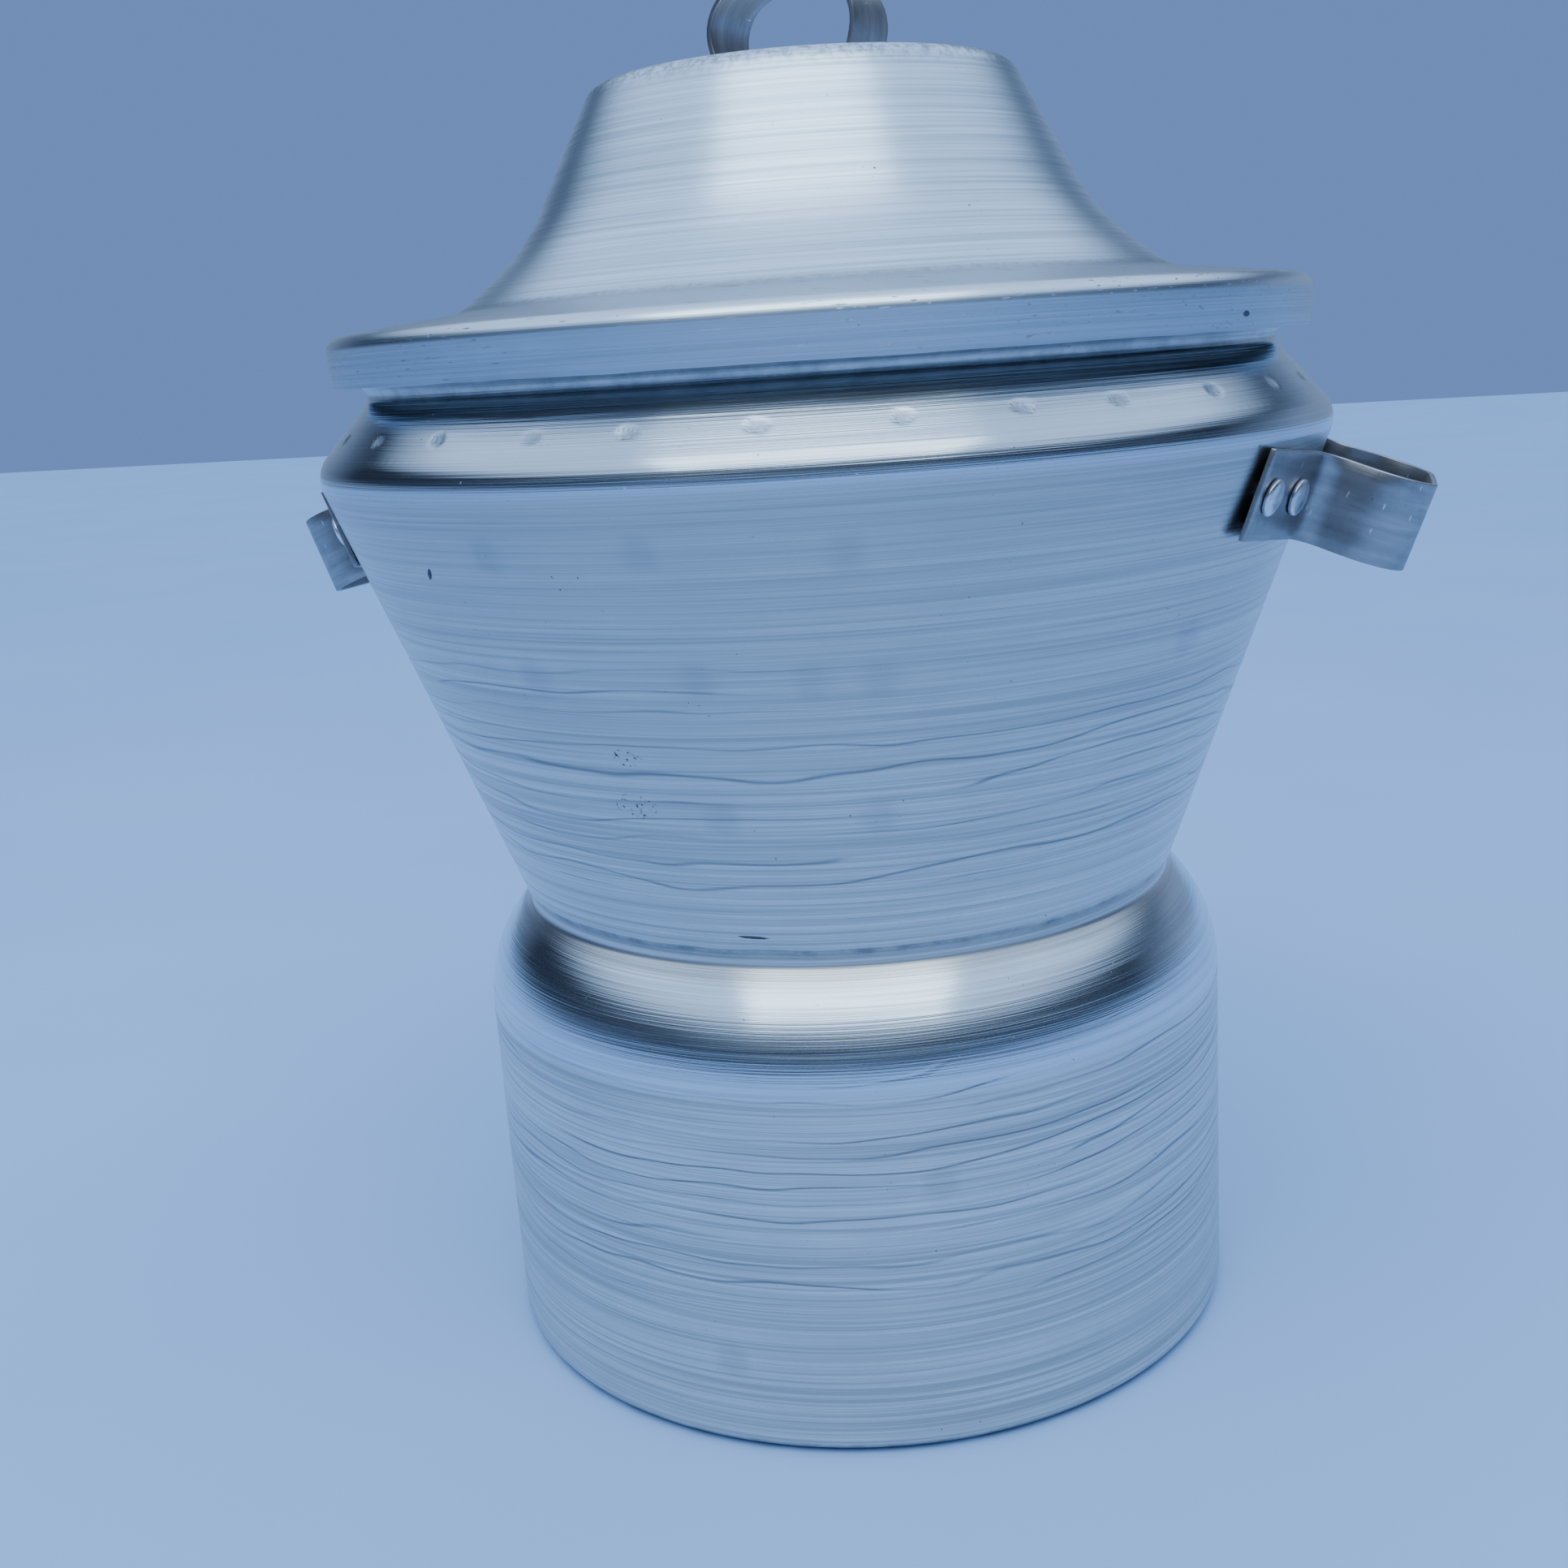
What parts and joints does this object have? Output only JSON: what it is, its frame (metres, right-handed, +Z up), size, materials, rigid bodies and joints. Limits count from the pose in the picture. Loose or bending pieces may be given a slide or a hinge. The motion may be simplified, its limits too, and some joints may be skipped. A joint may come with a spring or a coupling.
{
  "type": "aluminium steamer pot",
  "caption": "Hourglass steamer pot of spun aluminium: water below, food in the cone above on a loose pierced plate, riveted strip handles, and a hat-shaped lid with a strip handle.",
  "frame": {"origin": "centre of the flat base, on the surface the pot stands on", "axes": "+Z up along the axis of the pot, +X through the middle of the right side handle, which reaches out further than the left one, -Y towards the viewer"},
  "size_m": [0.3609, 0.308, 0.4156],
  "materials": {
    "spun_aluminium": "spun bright, circumferential lines, polished shoulders",
    "sheet_aluminium": "satin sheet",
    "mill_strip": "mill finish, dull grey",
    "rivet_aluminium": "plain, hammered flat"
  },
  "bodies": {
    "pot": {"pot_body": "spun_aluminium", "side_handle_right": "mill_strip", "side_handle_right_rivet_1": "rivet_aluminium", "side_handle_right_rivet_2": "rivet_aluminium", "side_handle_right_rivet_3": "rivet_aluminium", "side_handle_right_rivet_4": "rivet_aluminium", "side_handle_left": "mill_strip", "side_handle_left_rivet_1": "rivet_aluminium", "side_handle_left_rivet_2": "rivet_aluminium", "side_handle_left_rivet_3": "rivet_aluminium", "side_handle_left_rivet_4": "rivet_aluminium"},
    "lid": {"lid_shell": "spun_aluminium", "lid_handle": "mill_strip", "lid_rivet_1": "rivet_aluminium", "lid_rivet_2": "rivet_aluminium"},
    "steam_plate": {"steam_plate": "sheet_aluminium", "steam_plate_handle": "mill_strip", "steam_plate_rivet_1": "rivet_aluminium", "steam_plate_rivet_2": "rivet_aluminium"}
  },
  "joints": [
    {"name": "lid_lift", "type": "slide", "parent": "pot", "child": "lid", "axis": [0, 0, 1], "range_m": [0, 0.15]},
    {"name": "steam_plate_lift", "type": "slide", "parent": "pot", "child": "steam_plate", "axis": [0, 0, 1], "range_m": [0, 0.155]}
  ]
}
